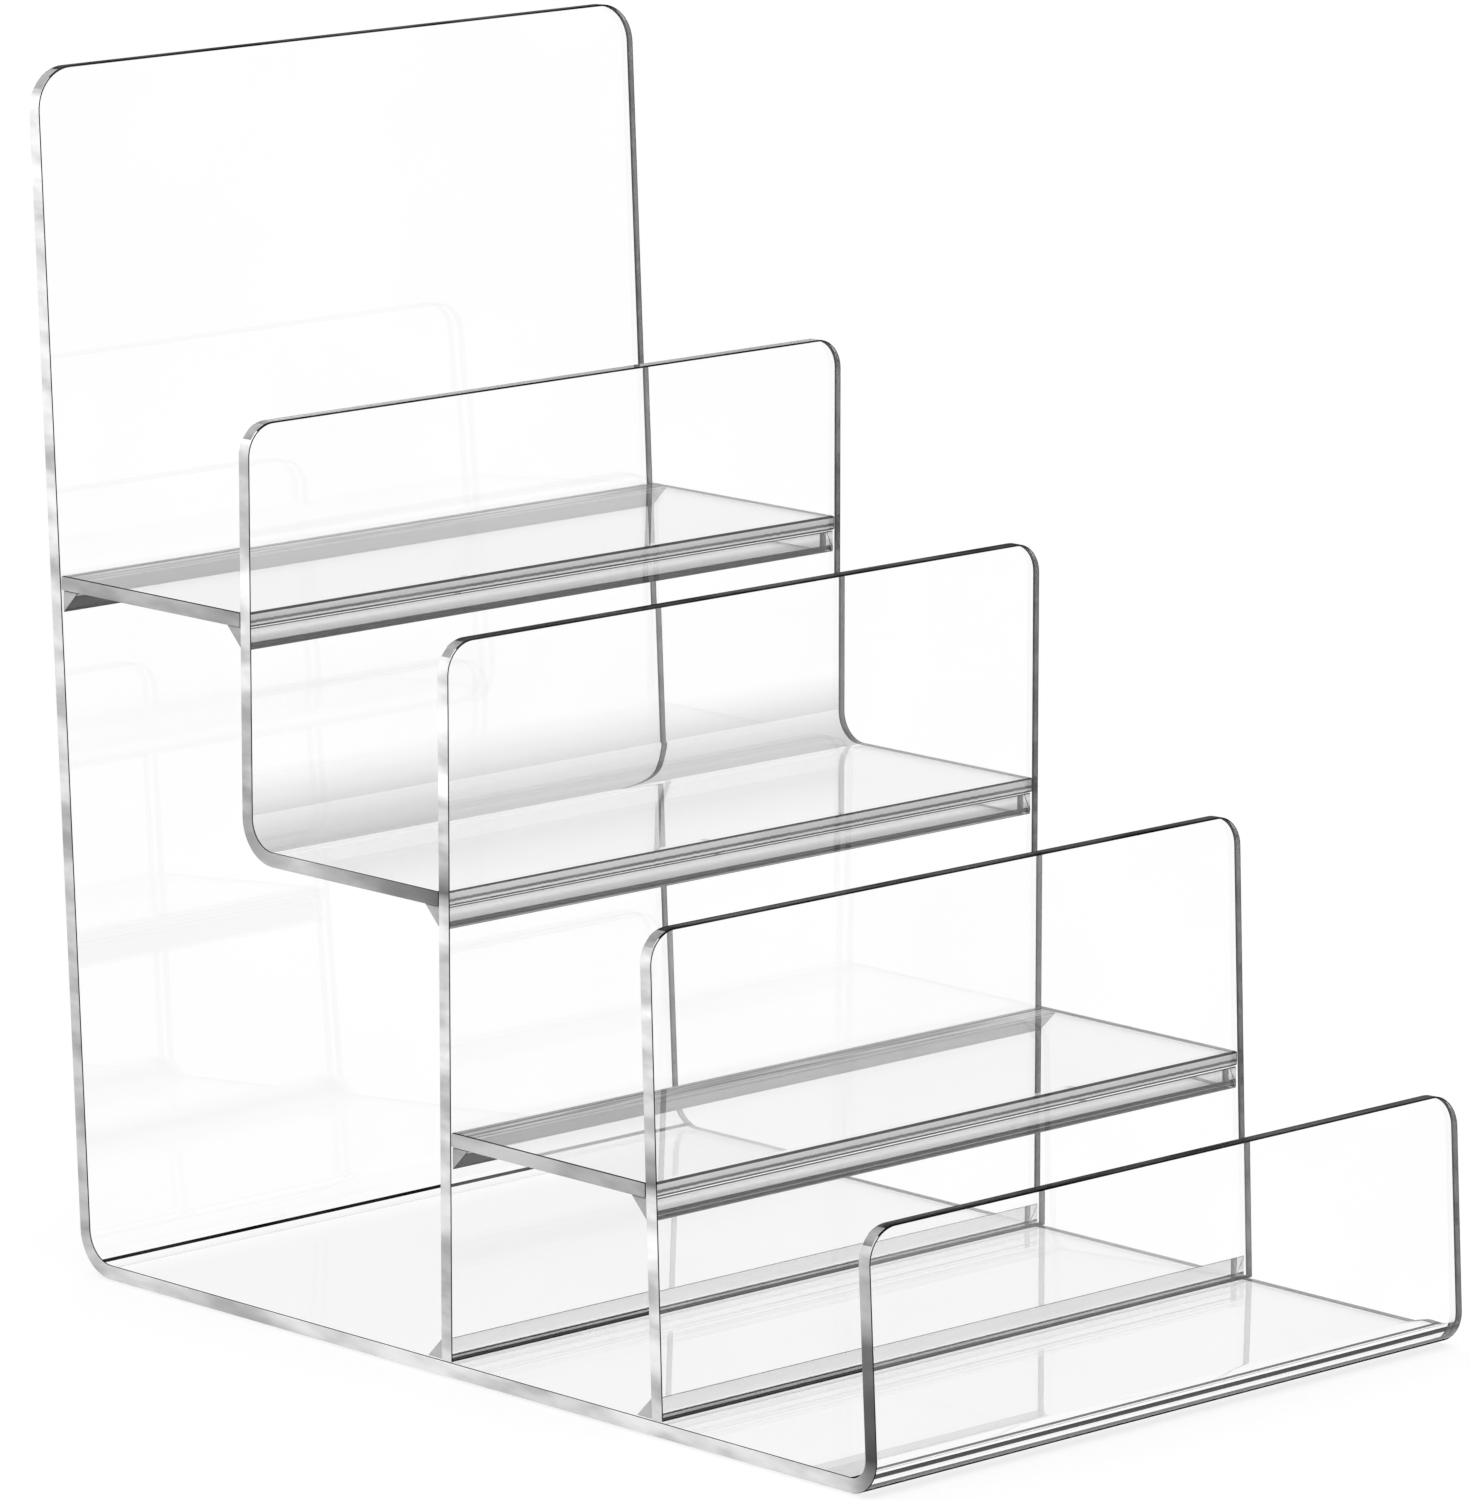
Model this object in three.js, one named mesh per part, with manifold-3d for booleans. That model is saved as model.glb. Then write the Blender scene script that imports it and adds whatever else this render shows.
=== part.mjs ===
// Display riser of clear acrylic sheet: four open tiers that climb from a front lip to a tall back panel.
// Two hot-bent sheets and four flat ones are glued together over corner strips of triangular section.
// Millimetres. X runs across the width, +Y towards the back, +Z up, and the floor sheet lies on z = 0.

import * as THREE from 'three';
import { mergeVertices } from 'three/addons/utils/BufferGeometryUtils.js';
import Module from 'manifold-3d';

const wasm = await Module();
wasm.setup();

// Sheet stock
const sheetWidth = 160;
const thickness = 3;
const glueLine = 0.1; // what each glued joint leaves between two pieces

// Floor sheet: one blank bent up twice, into the front lip and the back panel. Each upright has the height
// of its top edge, its lean in degrees, the radius of its top corners and the inside radius of its hot bend
const floorLength = 228; // from the lip's corner to the back panel's corner, on the middle of the sheet
const lip = { top: 51, lean: 3, corner: 7, bend: 4 };
const back = { top: 243.5, lean: 2.8, corner: 8.5, bend: 6.5 };

// Risers, set back from the lip's corner, with the heights of their top edges
const lowerRiser = { setback: 58.5, top: 97.5, lean: 2, corner: 6.5 };
const middleRiser = { setback: 118.5, top: 145, lean: 0, corner: 6.5 };
const upperRiser = { setback: 176.5, top: 180, lean: 0, corner: 6.5, bend: 6 };

// Heights of the shelves' upper faces
const lowerShelfTop = 49;
const middleShelfTop = 96;
const topShelfTop = 142.5;

// Corner strips: right-angled triangles, a little shorter than the sheets are wide
const stripLeg = 4.4;
const stripLength = 159;

// Facets of round stretches, and how far a cutter reaches past the sheet
const arcFacets = 8;
const cutterMargin = 2;

const half = thickness / 2;
const floorTop = thickness;

// Depth shift of a leaning sheet for each unit of height
function slope(lean) {
  return Math.tan(THREE.MathUtils.degToRad(lean));
}

// Depth of a riser's front or rear face at a height: side is -1 for the front face and 1 for the rear one
function faceAt(riser, height, side) {
  const middle = riser.setback + slope(riser.lean) * (height - floorTop);
  return middle + side * half / Math.cos(THREE.MathUtils.degToRad(riser.lean));
}

// The lip and the back panel as risers whose middle lines meet the floor's at its two corners
const lipRiser = { ...lip, setback: slope(lip.lean) * half };
const backRiser = { ...back, setback: floorLength + slope(back.lean) * half };

// Moves a point in the side view to the left of a direction
function leftOf(point, direction, distance) {
  return new THREE.Vector2(point.x - direction.y * distance, point.y + direction.x * distance);
}

function directionOf(from, to) {
  return to.clone().sub(from).normalize();
}

// Follows the left face of a sheet along its middle line, with a round bend at each inner corner
function traceFace(shape, line, bends) {
  const last = line.length - 1;
  const first = leftOf(line[0], directionOf(line[0], line[1]), half);
  shape.lineTo(first.x, first.y);
  for (let i = 1; i < last; i += 1) {
    const before = directionOf(line[i - 1], line[i]);
    const after = directionOf(line[i], line[i + 1]);
    const turn = Math.atan2(before.cross(after), before.dot(after));
    const sign = Math.sign(turn);
    const middleRadius = bends[i - 1] + half;
    const tangent = middleRadius * Math.tan(Math.abs(turn) / 2);
    const bendStart = line[i].clone().addScaledVector(before, -tangent);
    const centre = leftOf(bendStart, before, sign * middleRadius);
    const startAngle = Math.atan2(-before.x * sign, before.y * sign);
    const faceRadius = middleRadius - sign * half;
    shape.absarc(centre.x, centre.y, faceRadius, startAngle, startAngle + turn, turn < 0);
  }
  const end = leftOf(line[last], directionOf(line[last - 1], line[last]), half);
  shape.lineTo(end.x, end.y);
}

// Side view of a sheet whose middle line runs through the given points, with the inside radius of each bend
function sheetProfile(points, bends = []) {
  const line = points.map(([depth, height]) => new THREE.Vector2(depth, height));
  const shape = new THREE.Shape();
  const start = leftOf(line[0], directionOf(line[1], line[0]), half);
  shape.moveTo(start.x, start.y);
  traceFace(shape, line, bends);
  traceFace(shape, [...line].reverse(), [...bends].reverse());
  return shape;
}

// Extrudes a side view across the width, centred on x = 0
function extrudeAcross(shape, length) {
  const geometry = new THREE.ExtrudeGeometry(shape, {
    depth: length,
    bevelEnabled: false,
    curveSegments: arcFacets,
  });
  geometry.translate(0, 0, -length / 2);
  const sideView = new THREE.Matrix4().makeBasis(
    new THREE.Vector3(0, 1, 0),
    new THREE.Vector3(0, 0, 1),
    new THREE.Vector3(1, 0, 0),
  );
  return geometry.applyMatrix4(sideView);
}

// Joins the vertices that faces share and hands the closed mesh to the solid modeller
function toSolid(geometry) {
  const bare = geometry.clone();
  bare.deleteAttribute('normal');
  bare.deleteAttribute('uv');
  const merged = mergeVertices(bare);
  const vertProperties = merged.getAttribute('position').array;
  const triVerts = new Uint32Array(merged.getIndex().array);
  return new wasm.Manifold(new wasm.Mesh({ numProp: 3, vertProperties, triVerts }));
}

function toGeometry(solid) {
  const mesh = solid.getMesh();
  const geometry = new THREE.BufferGeometry();
  geometry.setAttribute('position', new THREE.BufferAttribute(mesh.vertProperties, 3));
  geometry.setIndex(new THREE.BufferAttribute(mesh.triVerts, 1));
  geometry.computeVertexNormals();
  return geometry;
}

// What is cut away outside one rounded top corner: side is -1 for the left corner and 1 for the right
function cornerCutter(side, { depth, height, lean, radius }) {
  const outline = new THREE.Shape();
  outline.moveTo(side * cutterMargin, cutterMargin);
  outline.lineTo(-side * radius, cutterMargin);
  outline.lineTo(-side * radius, 0);
  outline.absarc(-side * radius, -radius, radius, Math.PI / 2, side > 0 ? 0 : Math.PI, side > 0);
  outline.lineTo(side * cutterMargin, -radius);
  const reach = thickness + 2 * cutterMargin;
  const geometry = new THREE.ExtrudeGeometry(outline, {
    depth: reach,
    bevelEnabled: false,
    curveSegments: arcFacets,
  });
  geometry.translate(0, 0, -reach / 2);
  geometry.rotateX(Math.PI / 2 - THREE.MathUtils.degToRad(lean));
  geometry.translate(side * sheetWidth / 2, depth, height);
  return toSolid(geometry);
}

// Rounds both top corners of each listed upright edge of a sheet
function roundCorners(geometry, uprights) {
  let solid = toSolid(geometry);
  for (const upright of uprights) {
    for (const side of [-1, 1]) {
      solid = solid.subtract(cornerCutter(side, upright));
    }
  }
  return toGeometry(solid);
}

// Where the middle of a riser's top edge lies, with the lean and radius of its corners
function topEdge(riser) {
  const depth = riser.setback + slope(riser.lean) * (riser.top - floorTop);
  return { depth, height: riser.top, lean: riser.lean, radius: riser.corner };
}

// One blank: down the lip, along the floor and up the back panel
function floorSheet() {
  const lipTop = topEdge(lipRiser);
  const backTop = topEdge(backRiser);
  const line = [
    [lipTop.depth, lipTop.height],
    [0, half],
    [floorLength, half],
    [backTop.depth, backTop.height],
  ];
  const profile = sheetProfile(line, [lip.bend, back.bend]);
  return roundCorners(extrudeAcross(profile, sheetWidth), [lipTop, backTop]);
}

// A flat riser that stands on the floor sheet, square-cut at its foot
function standingRiser(riser) {
  const footLift = glueLine + half * Math.sin(THREE.MathUtils.degToRad(riser.lean));
  const foot = floorTop + footLift;
  const edge = topEdge(riser);
  const profile = sheetProfile([
    [edge.depth, edge.height],
    [riser.setback + slope(riser.lean) * footLift, foot],
  ]);
  return roundCorners(extrudeAcross(profile, sheetWidth), [edge]);
}

// The upper riser bends forward into the middle shelf, which butts on the back of the middle riser
function upperSheet() {
  const edge = topEdge(upperRiser);
  const shelfMiddle = middleShelfTop - half;
  const shelfFront = faceAt(middleRiser, shelfMiddle, 1) + glueLine;
  const line = [
    [edge.depth, edge.height],
    [edge.depth, shelfMiddle],
    [shelfFront, shelfMiddle],
  ];
  const profile = sheetProfile(line, [upperRiser.bend]);
  return roundCorners(extrudeAcross(profile, sheetWidth), [edge]);
}

// A flat shelf between the rear face of one riser and the front face of the next
function flatShelf(front, rear, top) {
  const underside = top - thickness;
  const from = Math.max(faceAt(front, top, 1), faceAt(front, underside, 1)) + glueLine;
  const to = Math.min(faceAt(rear, top, -1), faceAt(rear, underside, -1)) - glueLine;
  const profile = sheetProfile([
    [to, top - half],
    [from, top - half],
  ]);
  return extrudeAcross(profile, sheetWidth);
}

// A strip in the corner of a riser's face and a level face: side picks the riser's front (-1) or rear (1)
// face, and up is 1 on the floor and -1 under a shelf
function cornerStrip(riser, side, level, up) {
  const cornerHeight = level + up * glueLine;
  const tipHeight = cornerHeight + up * stripLeg;
  const faces = [faceAt(riser, cornerHeight, side), faceAt(riser, tipHeight, side)];
  const clear = side > 0 ? Math.max(...faces) : Math.min(...faces);
  const cornerDepth = clear + side * glueLine;
  const shape = new THREE.Shape();
  shape.moveTo(cornerDepth, cornerHeight);
  shape.lineTo(cornerDepth + side * stripLeg, cornerHeight);
  shape.lineTo(cornerDepth, tipHeight);
  shape.closePath();
  return extrudeAcross(shape, stripLength);
}

// Clear colourless acrylic: polished sheet, and strip that is a little greyer and less smooth
const sheetFinish = { color: 0xf3f5f5, roughness: 0.03 };
const stripFinish = { color: 0xd9dcdd, roughness: 0.12 };
const clearOpacity = 0.4;

const displayRiser = new THREE.Group();

function addPiece(name, geometry, finish) {
  const material = new THREE.MeshStandardMaterial({
    ...finish,
    metalness: 0,
    transparent: true,
    opacity: clearOpacity,
  });
  const mesh = new THREE.Mesh(geometry, material);
  mesh.name = name;
  displayRiser.add(mesh);
}

function addSheet(name, geometry) {
  addPiece(name, geometry, sheetFinish);
}

function addStrip(name, geometry) {
  addPiece(name, geometry, stripFinish);
}

addSheet('floor_sheet', floorSheet());
addSheet('lower_riser', standingRiser(lowerRiser));
addSheet('middle_riser', standingRiser(middleRiser));
addSheet('upper_riser_and_middle_shelf', upperSheet());
addSheet('lower_shelf', flatShelf(lowerRiser, middleRiser, lowerShelfTop));
addSheet('top_shelf', flatShelf(upperRiser, backRiser, topShelfTop));

addStrip('strip_lower_riser_foot', cornerStrip(lowerRiser, 1, floorTop, 1));
addStrip('strip_middle_riser_foot', cornerStrip(middleRiser, 1, floorTop, 1));
addStrip('strip_lower_shelf_front', cornerStrip(lowerRiser, 1, lowerShelfTop - thickness, -1));
addStrip('strip_lower_shelf_rear', cornerStrip(middleRiser, -1, lowerShelfTop - thickness, -1));
addStrip('strip_middle_shelf_front', cornerStrip(middleRiser, 1, middleShelfTop - thickness, -1));
addStrip('strip_top_shelf_front', cornerStrip(upperRiser, 1, topShelfTop - thickness, -1));
addStrip('strip_top_shelf_rear', cornerStrip(backRiser, -1, topShelfTop - thickness, -1));

// The origin is under the middle of the whole piece
const extent = new THREE.Box3().setFromObject(displayRiser);
displayRiser.position.y = -(extent.min.y + extent.max.y) / 2;
displayRiser.updateMatrixWorld(true);

export default displayRiser;
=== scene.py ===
"""Looks of a clear acrylic display riser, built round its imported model.

The riser is glued from two hot-bent sheets, four flat ones and seven corner strips. Each sheet is grown
here from one cut edge, the way the sheet itself is fed and bent, and each strip from its section. Every
piece takes the place of its plain node. Lengths in the classes are millimetres, apart from those that
their notes give in metres. Blender works in metres, and MM turns one into the other.
"""

import logging
import math
from dataclasses import dataclass, field
from enum import Enum
from typing import Any, Iterable, Optional, Sequence, Union

import bmesh
import bpy
from bmesh.types import BMEdge, BMesh, BMFace, BMVert
from bpy.types import ColorRamp, Material, Node, NodeSocket, Object, World
from mathutils import Matrix, Vector


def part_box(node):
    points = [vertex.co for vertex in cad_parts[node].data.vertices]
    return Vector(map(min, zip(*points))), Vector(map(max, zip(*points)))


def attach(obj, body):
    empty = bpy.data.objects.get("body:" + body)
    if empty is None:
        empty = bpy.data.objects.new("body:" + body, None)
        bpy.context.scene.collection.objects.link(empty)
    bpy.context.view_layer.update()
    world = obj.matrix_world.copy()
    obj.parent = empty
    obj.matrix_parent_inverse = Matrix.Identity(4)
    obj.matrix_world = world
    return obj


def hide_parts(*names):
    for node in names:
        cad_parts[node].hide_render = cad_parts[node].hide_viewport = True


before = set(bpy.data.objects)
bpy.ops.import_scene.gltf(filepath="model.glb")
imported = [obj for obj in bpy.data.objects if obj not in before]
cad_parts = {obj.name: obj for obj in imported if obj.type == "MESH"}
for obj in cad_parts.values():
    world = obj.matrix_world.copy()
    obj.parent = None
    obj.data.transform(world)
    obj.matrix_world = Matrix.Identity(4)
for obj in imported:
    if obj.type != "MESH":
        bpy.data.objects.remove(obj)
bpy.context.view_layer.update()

LOG = logging.getLogger("display_riser")
MM = 0.001
BODY = "root"
ACROSS = Vector((1.0, 0.0, 0.0))

# A face looks along an axis, or leans to it, when its normal's share of that axis is above these.
FACING = 0.9
LEANING = 0.5

# The stretches of a noise's range over which streaks and smears run from none to full.
STREAK_SPAN = (0.3, 0.7)
SMEAR_SPAN = (0.45, 0.8)
SMEARS_IN_A_METRE = (60.0, 60.0, 60.0)
NOISE_MIDDLE = 0.5

Number = Union[float, "Port"]
Colour = tuple[float, float, float, float]
Stops = tuple[tuple[float, float], ...]
Settings = Optional[dict[str, Any]]
Sockets = Optional[dict[Union[str, int], Any]]


def grey(level: float) -> Colour:
    """Gives an opaque neutral colour of that linear level."""
    return (level, level, level, 1.0)


class Layer(Enum):
    """The values at a piece's vertices that some finishes read: the painted shade of sawn ends, the painted
    crease shade of bent faces, and the rise across a side that places a painted sheen.
    """

    SHADE = "shade"
    CREASE_SHADE = "haze"
    RISE = "rise"


class Port:
    """An output of a shader node that takes part in Python arithmetic by adding Math nodes."""

    def __init__(self, graph: "ShaderGraph", socket: NodeSocket) -> None:
        """Wraps an output socket of a graph, which new Math nodes go into."""
        self.graph = graph
        self.socket = socket

    def __add__(self, other: Number) -> "Port":
        """Adds a number or a port."""
        return self.graph.maths("ADD", self, other)

    def __radd__(self, other: Number) -> "Port":
        """Adds this port to a number."""
        return self.graph.maths("ADD", other, self)

    def __sub__(self, other: Number) -> "Port":
        """Takes a number or a port away."""
        return self.graph.maths("SUBTRACT", self, other)

    def __rsub__(self, other: Number) -> "Port":
        """Takes this port away from a number."""
        return self.graph.maths("SUBTRACT", other, self)

    def __mul__(self, other: Number) -> "Port":
        """Multiplies by a number or a port."""
        return self.graph.maths("MULTIPLY", self, other)

    def __rmul__(self, other: Number) -> "Port":
        """Multiplies a number by this port."""
        return self.graph.maths("MULTIPLY", other, self)

    def __pow__(self, other: Number) -> "Port":
        """Raises to a power."""
        return self.graph.maths("POWER", self, other)

    def __rpow__(self, other: Number) -> "Port":
        """Raises a number to the power of this port."""
        return self.graph.maths("POWER", other, self)

    def at_least(self, other: Number) -> "Port":
        """Gives the greater of this port and a number or port."""
        return self.graph.maths("MAXIMUM", self, other)


class ShaderGraph:
    """The node tree of a material or of the world, filled node by node."""

    def __init__(self, owner: Union[Material, World]) -> None:
        """Clears the owner's node tree and starts afresh.

        Args:
            owner: The material or world whose nodes are made.
        """
        owner.use_nodes = True
        self.tree = owner.node_tree
        self.tree.nodes.clear()

    def node(self, kind: str, settings: Settings = None, sockets: Sockets = None) -> Node:
        """Adds a node.

        Args:
            kind: The node's type without its ShaderNode prefix.
            settings: Properties of the node, set before its sockets. The key stops holds a ramp's stops.
            sockets: Values or ports for the node's inputs, by name or by number.

        Returns:
            The new node.
        """
        made = self.tree.nodes.new("ShaderNode" + kind)
        for name, value in (settings or {}).items():
            if name == "stops":
                self._set_stops(made.color_ramp, value)
            else:
                setattr(made, name, value)
        for name, value in (sockets or {}).items():
            self._feed(made.inputs[name], value)
        return made

    def _feed(self, socket: NodeSocket, value: Any) -> None:
        """Links a port to an input, or sets the input's plain value.

        Args:
            socket: The input.
            value: A port, or a plain value of the input's kind.
        """
        if isinstance(value, Port):
            self.tree.links.new(value.socket, socket)
        else:
            socket.default_value = value

    @staticmethod
    def _set_stops(ramp: ColorRamp, stops: Stops) -> None:
        """Gives a ramp its stops.

        Args:
            ramp: The ramp of a new node.
            stops: Pairs of place and grey level.
        """
        while len(ramp.elements) < len(stops):
            ramp.elements.new(1.0)
        for element, (place, level) in zip(ramp.elements, stops):
            element.position = place
            element.color = grey(level)

    def port(
        self, kind: str, settings: Settings = None, sockets: Sockets = None, output: Union[str, int] = 0
    ) -> Port:
        """Adds a node, as node does, and gives one of its outputs as a port."""
        return Port(self, self.node(kind, settings, sockets).outputs[output])

    def maths(self, operation: str, first: Number, second: Number) -> Port:
        """Adds a Math node on two values and gives its result."""
        return self.port("Math", {"operation": operation}, {0: first, 1: second})

    def span(self, value: Port, low: float, high: float) -> Port:
        """Maps a value to 0 at low and 1 at high, eased between them and held at both ends."""
        sockets = {"Value": value, "From Min": low, "From Max": high}
        return self.port("MapRange", {"interpolation_type": "SMOOTHSTEP"}, sockets)

    def mix(self, share: Number, first: Any, second: Any) -> Port:
        """Mixes two colours, or the ports of colours, where the second one has the given share."""
        sockets = {"Factor": share, "A": first, "B": second}
        return self.port("Mix", {"data_type": "RGBA"}, sockets, output="Result")

    def place(self, scale: Sequence[float], turn: Sequence[float] = (0.0, 0.0, 0.0)) -> Port:
        """Gives Object coordinates, scaled to so many repeats in a metre and turned in radians."""
        spot = self.port("TexCoord", output="Object")
        return self.port("Mapping", None, {"Vector": spot, "Scale": scale, "Rotation": turn})

    def noise(self, where: Port, detail: float = 2.0, roughness: float = 0.5) -> Port:
        """Adds a Noise texture of unit scale at the given coordinates and gives its value."""
        sockets = {"Vector": where, "Scale": 1.0, "Detail": detail, "Roughness": roughness}
        return self.port("TexNoise", None, sockets)

    def layer(self, layer: Layer) -> Port:
        """Gives a value that a piece's vertices hold."""
        return self.port("Attribute", {"attribute_name": layer.value}, output="Fac")

    def within(self) -> Port:
        """Gives 1 to light that meets the surface from inside the piece, and 0 to other light."""
        return self.port("NewGeometry", output="Backfacing")

    def finish(self, surface: Port, world: bool = False) -> None:
        """Links a shader to the output of the tree."""
        self.node("OutputWorld" if world else "OutputMaterial", None, {"Surface": surface})


class Finish(Enum):
    """The finishes of the riser's surfaces, by the names of their materials."""

    FACE = "polished_face"
    END = "sawn_end"
    DARK_TOP = "dark_top_edge"
    PALE_TOP = "pale_top_edge"
    CORNER = "rounded_corner"
    ARRIS = "arris"
    BEND = "bent_face"
    GLUED = "glued_edge"
    GLUED_ZONE = "glued_underside"
    FRONT_STRIP = "front_strip"
    REAR_STRIP = "rear_strip"
    FOOT_STRIP = "foot_strip"


@dataclass(frozen=True)
class ClearAcrylic:
    """Clear acrylic as one of its surfaces: a polished face, a sawn end or a strip.

    Attributes:
        finish: The finish that this is, which names the material.
        pale: The lightest tint that light takes on as it crosses the surface.
        dark: The darkest tint.
        streaks: Repeats in a metre, along X, Y and Z, of the pattern between those tints.
        slant: Turn of that pattern about X, in radians.
        rough: The roughness where the surface is smeared. It is smooth elsewhere.
        ripple: Depth in millimetres of the waves that bend what is seen through the surface.
        ripples: Repeats in a metre, along X, Y and Z, of those waves.
        clear: The share of the surface that light crosses. The rest is opaque, with the same tints: scuffs on
            sawn ends, glue marks under the shelves, and painted shade or sheen on edges and strips.
        gloss: Specular level of the opaque share.
        lets_through: What is left of a lamp's light that has crossed the surface.
        refraction: The refractive index of acrylic.
    """

    finish: Finish
    pale: float = 1.0
    dark: float = 0.99
    streaks: tuple[float, float, float] = (45.0, 400.0, 400.0)
    slant: float = 0.0
    rough: float = 0.02
    ripple: float = 0.004
    ripples: tuple[float, float, float] = (25.0, 25.0, 25.0)
    clear: float = 1.0
    gloss: float = 0.5
    lets_through: float = 0.985
    refraction: float = 1.49

    def streak(self, graph: ShaderGraph) -> Port:
        """Gives a streaky pattern between 0 and 1."""
        where = graph.place(self.streaks, (self.slant, 0.0, 0.0))
        return graph.span(graph.noise(where, detail=3.0), *STREAK_SPAN)

    def tint(self, graph: ShaderGraph) -> Port:
        """Gives the colour that runs from the dark tint to the pale one."""
        return graph.mix(self.streak(graph), grey(self.dark), grey(self.pale))

    def material(self) -> Material:
        """Builds the material.

        Returns:
            The finished material.
        """
        made = bpy.data.materials.new(self.finish.value)
        graph = ShaderGraph(made)
        smear = graph.noise(graph.place(SMEARS_IN_A_METRE), detail=4.0, roughness=0.65)
        roughness = self.rough * graph.span(smear, *SMEAR_SPAN)
        wave = graph.noise(graph.place(self.ripples), detail=1.0)
        bent = graph.port("Bump", None, {"Strength": 1.0, "Distance": self.ripple * MM, "Height": wave})
        body = graph.port(
            "BsdfPrincipled",
            None,
            {
                "Base Color": self.tint(graph),
                "Roughness": roughness,
                "IOR": self.refraction,
                "Specular IOR Level": self.gloss,
                "Transmission Weight": self.clear,
                "Normal": bent,
            },
        )
        open_to_lamps = graph.port("BsdfTransparent", None, {"Color": grey(self.lets_through)})
        shadow = graph.port("LightPath", output="Is Shadow Ray")
        graph.finish(graph.port("MixShader", None, {0: shadow, 1: body, 2: open_to_lamps}))
        return made


@dataclass(frozen=True)
class BandedAcrylic(ClearAcrylic):
    """A narrow side of a strip or a shelf with a painted sheen: painted bands of light and shade along it.

    Attributes:
        sheen: Stops of the painted sheen across the side, from its lower edge at 0 to its upper one at 1.
        wobble: How far the glue makes the painted sheen's bands waver, as a share of the side's height.
        wavers: Repeats in a metre of that wavering.
        streak_share: How far streaks of the pale tint break up the painted sheen.
        inside_share: How far the painted sheen gives way to another painted tint for light inside the piece.
        inside_tint: That painted tint.
    """

    sheen: Stops = ()
    wobble: float = 0.1
    wavers: float = 900.0
    streak_share: float = 0.15
    inside_share: float = 0.0
    inside_tint: float = 0.95

    def tint(self, graph: ShaderGraph) -> Port:
        """Gives the painted sheen across the side, broken up a little by streaks along it.

        Args:
            graph: The graph of the material.

        Returns:
            The port of the colour.
        """
        waver = graph.noise(graph.place((self.wavers, 0.0, 0.0))) - NOISE_MIDDLE
        height = graph.layer(Layer.RISE) + self.wobble * waver
        band = graph.port("ValToRGB", {"stops": self.sheen}, {0: height})
        outside = graph.mix(self.streak(graph) * self.streak_share, band, grey(self.pale))
        if self.inside_share == 0.0:
            return outside
        return graph.mix(graph.within() * self.inside_share, outside, grey(self.inside_tint))


@dataclass(frozen=True)
class ShadedAcrylic(ClearAcrylic):
    """Acrylic with painted shade: its colour darkens towards a bend or a joint.

    Attributes:
        depth: The tint where the shade is full.
        curve: How late the shade sets in. At 1 it is even.
        layer: The layer that is 1 where the shade is full and 0 where there is none.
    """

    depth: float = 0.1
    curve: float = 1.0
    layer: Layer = Layer.SHADE

    def tint(self, graph: ShaderGraph) -> Port:
        """Gives the streaky tint, darkened by the shade."""
        return graph.mix(graph.layer(self.layer) ** self.curve, super().tint(graph), grey(self.depth))


@dataclass(frozen=True)
class SawnAcrylic(ShadedAcrylic):
    """A sawn end: scuffed and pale from outside, with a painted dark tint of shade for the light that meets
    it inside the sheet.

    Attributes:
        inside: The darkest and lightest painted shade tints for light inside the sheet.
    """

    inside: tuple[float, float] = (0.035, 0.2)

    def tint(self, graph: ShaderGraph) -> Port:
        """Gives the shaded streaky tint outside and the painted dark one within.

        Args:
            graph: The graph of the material.

        Returns:
            The port of the colour.
        """
        painted_dark, lighter = (grey(level) for level in self.inside)
        inner = graph.mix(self.streak(graph), painted_dark, lighter)
        return graph.mix(graph.within(), super().tint(graph), inner)


class Surface(Enum):
    """The material slots of a piece.

    OWN is the surface that only its kind of piece has: a sheet's free top edge, which is painted dark or
    pale, the glued stretch under a shelf or the side of a strip that shows a painted sheen. The others have
    the finishes of the same names.
    """

    FACE = 0
    END = 1
    OWN = 2
    CORNER = 3
    ARRIS = 4
    BEND = 5
    GLUED = 6


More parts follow.
